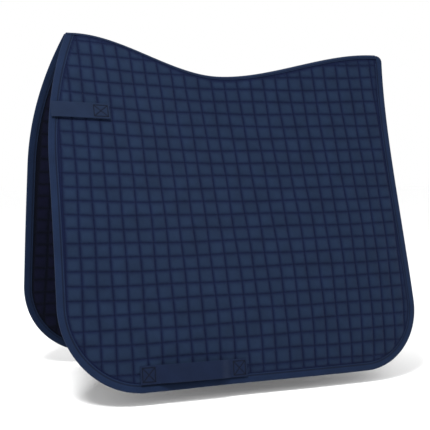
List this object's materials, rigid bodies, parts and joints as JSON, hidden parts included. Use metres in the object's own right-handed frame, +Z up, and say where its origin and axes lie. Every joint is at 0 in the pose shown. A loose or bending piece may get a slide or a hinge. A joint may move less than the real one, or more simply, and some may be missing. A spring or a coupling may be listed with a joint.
{
  "type": "saddle pad",
  "caption": "Quilted dressage saddle pad with a contoured spine, bound edges, fold-out side flaps, peel-open front straps and girth loops.",
  "frame": {"origin": "on the ridge of the pad at its lowest point, where the saddle seat sits over the horse's spine", "axes": "+X towards the horse's tail, +Y towards the off (right) side, +Z up; the near (left) side is at -Y"},
  "size_m": [0.646, 0.3836, 0.5713],
  "materials": {
    "cover": "matte",
    "lining": "matte",
    "foam": "matte",
    "binding": "satin",
    "webbing": "matte",
    "touch_tape": "matte",
    "thread": "satin"
  },
  "bodies": {
    "spine": {"near_binding_yoke": "binding", "near_cover_yoke": "cover", "near_foam_yoke": "foam", "near_lining_yoke": "lining", "near_strap_loop_tape": "touch_tape", "near_strap_stitching": "thread", "near_strap_tab": "webbing", "off_binding_yoke": "binding", "off_cover_yoke": "cover", "off_foam_yoke": "foam", "off_lining_yoke": "lining", "off_strap_loop_tape": "touch_tape", "off_strap_stitching": "thread", "off_strap_tab": "webbing", "spine_lining_tape": "lining", "spine_tape": "binding"},
    "near_flap": {"near_binding_flap": "binding", "near_cover_flap": "cover", "near_foam_flap": "foam", "near_girth_loop": "webbing", "near_girth_loop_front_stitching": "thread", "near_girth_loop_rear_stitching": "thread", "near_lining_flap": "lining"},
    "off_flap": {"off_binding_flap": "binding", "off_cover_flap": "cover", "off_foam_flap": "foam", "off_girth_loop": "webbing", "off_girth_loop_front_stitching": "thread", "off_girth_loop_rear_stitching": "thread", "off_lining_flap": "lining"},
    "near_strap": {"near_strap_hook_tape": "touch_tape", "near_strap_tongue": "webbing"},
    "off_strap": {"off_strap_hook_tape": "touch_tape", "off_strap_tongue": "webbing"}
  },
  "joints": [
    {"name": "near_flap_fold", "type": "hinge", "parent": "spine", "child": "near_flap", "pos_m": [0.003, -0.0591, -0.112], "axis": [-0.9962, -0.0866, 0], "range_deg": [-15, 45], "stiffness_Nm_per_rad": 1.5, "springref_deg": 5.73},
    {"name": "off_flap_fold", "type": "hinge", "parent": "spine", "child": "off_flap", "pos_m": [0.003, 0.0591, -0.112], "axis": [0.9962, -0.0866, 0], "range_deg": [-15, 45], "stiffness_Nm_per_rad": 1.5, "springref_deg": 5.73},
    {"name": "near_strap_peel", "type": "hinge", "parent": "spine", "child": "near_strap", "pos_m": [-0.24447, -0.07108, -0.06471], "axis": [-0.0196, 0.3687, 0.9293], "range_deg": [0, 150]},
    {"name": "off_strap_peel", "type": "hinge", "parent": "spine", "child": "off_strap", "pos_m": [-0.24447, 0.07108, -0.06471], "axis": [0.0196, 0.3687, -0.9293], "range_deg": [0, 150]}
  ]
}
